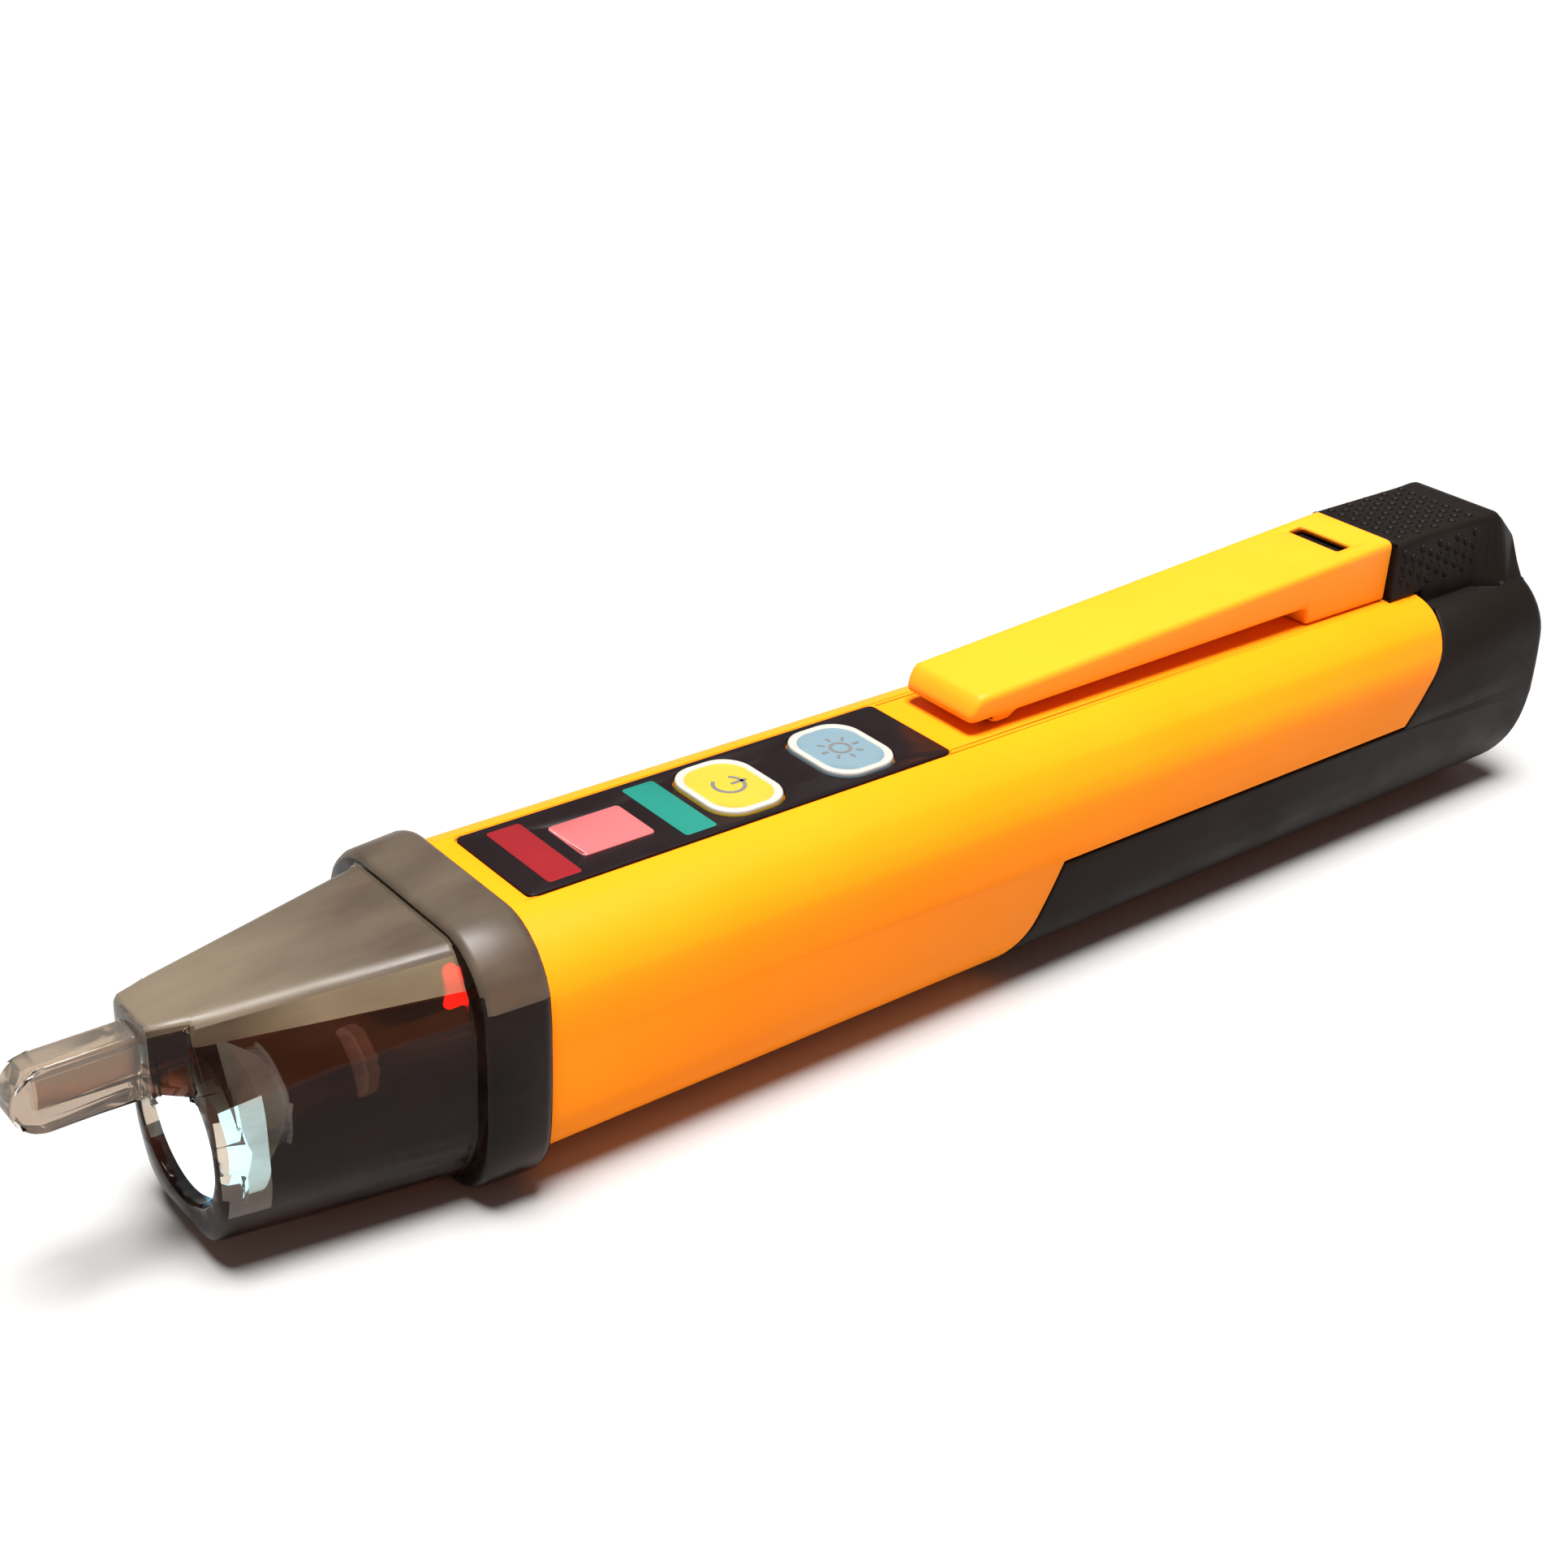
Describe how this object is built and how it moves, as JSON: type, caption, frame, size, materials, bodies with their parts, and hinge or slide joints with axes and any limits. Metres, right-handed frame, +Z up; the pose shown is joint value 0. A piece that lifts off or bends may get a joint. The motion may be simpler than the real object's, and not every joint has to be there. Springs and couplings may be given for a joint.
{
  "type": "non-contact voltage tester",
  "caption": "Pen-shaped non-contact voltage tester: see-through nose with a blade tip and torch, keyed top panel, sprung pocket clip and a slide-off battery cover.",
  "frame": {"origin": "centre of the bounding box's underside, so the pen lies on the plane z = 0", "axes": "+X from the sensing tip to the battery cap, +Y across the pen, +Z up through the control panel and the clip"},
  "size_m": [0.176, 0.027, 0.032],
  "materials": {
    "yellow_housing": "fine moulded texture, satin",
    "yellow_clip": "fine moulded texture, satin",
    "black_cover": "fine moulded texture, satin",
    "smoke_clear": "polished, smoke tinted and see-through",
    "lens_clear": "polished, clear",
    "panel_film": "printed film with plain colour bands",
    "window_pink": "translucent pink",
    "key_amber": "satin, with a paler rim",
    "key_blue": "satin, with a paler rim",
    "lamp_red": "translucent red",
    "lamp_white": "clear epoxy",
    "reflector_chrome": "mirror",
    "white_plastic": "plain moulded",
    "black_parts": "plain moulded",
    "board_green": "solder mask",
    "nickel": "nickel plated",
    "antenna_brass": "bright",
    "cell_jacket": "printed foil jacket, no lettering",
    "capacitor_blue": "sleeved",
    "foam": "closed-cell foam",
    "lead_red": "insulated wire",
    "lead_black": "insulated wire"
  },
  "bodies": {
    "housing": {"main_housing": "yellow_housing", "control_panel": "panel_film", "indicator_window": "window_pink", "power_switch": "black_parts", "torch_switch": "black_parts", "circuit_board": "board_green", "board_screw_1": "nickel", "board_screw_2": "nickel", "indicator_diode": "lamp_white", "detector_chip": "black_parts", "piezo_buzzer": "black_parts", "filter_capacitor": "capacitor_blue", "nose_housing": "smoke_clear", "sensor_antenna": "antenna_brass", "torch_lens": "lens_clear", "torch_reflector": "reflector_chrome", "torch_diode": "lamp_white", "alert_lamp_left": "lamp_red", "alert_lamp_right": "lamp_red", "clip_root": "yellow_clip", "battery_carrier": "white_plastic", "positive_contact": "nickel", "negative_contact": "nickel", "bridge_contact": "nickel", "battery_left": "cell_jacket", "battery_right": "cell_jacket", "rear_spring": "nickel", "front_spring": "nickel", "positive_lead": "lead_red", "negative_lead": "lead_black"},
    "power_button": {"power_button": "key_amber", "power_switch_plunger": "white_plastic"},
    "torch_button": {"torch_button": "key_blue", "torch_switch_plunger": "white_plastic"},
    "clip": {"pocket_clip": "yellow_clip"},
    "battery_cover": {"battery_cover": "black_cover", "battery_pad": "foam"}
  },
  "joints": [
    {"name": "power_press", "type": "slide", "parent": "housing", "child": "power_button", "axis": [0, 0, -1], "range_m": [0, 0.0005], "stiffness_N_per_m": 3000},
    {"name": "torch_press", "type": "slide", "parent": "housing", "child": "torch_button", "axis": [0, 0, -1], "range_m": [0, 0.0005], "stiffness_N_per_m": 3000},
    {"name": "clip_flex", "type": "hinge", "parent": "housing", "child": "clip", "pos_m": [0.052, 0, 0.0292], "axis": [0, 1, 0], "range_deg": [0, 4], "stiffness_Nm_per_rad": 1.5},
    {"name": "cover_slide", "type": "slide", "parent": "housing", "child": "battery_cover", "axis": [1, 0, 0], "range_m": [0, 0.066]}
  ]
}
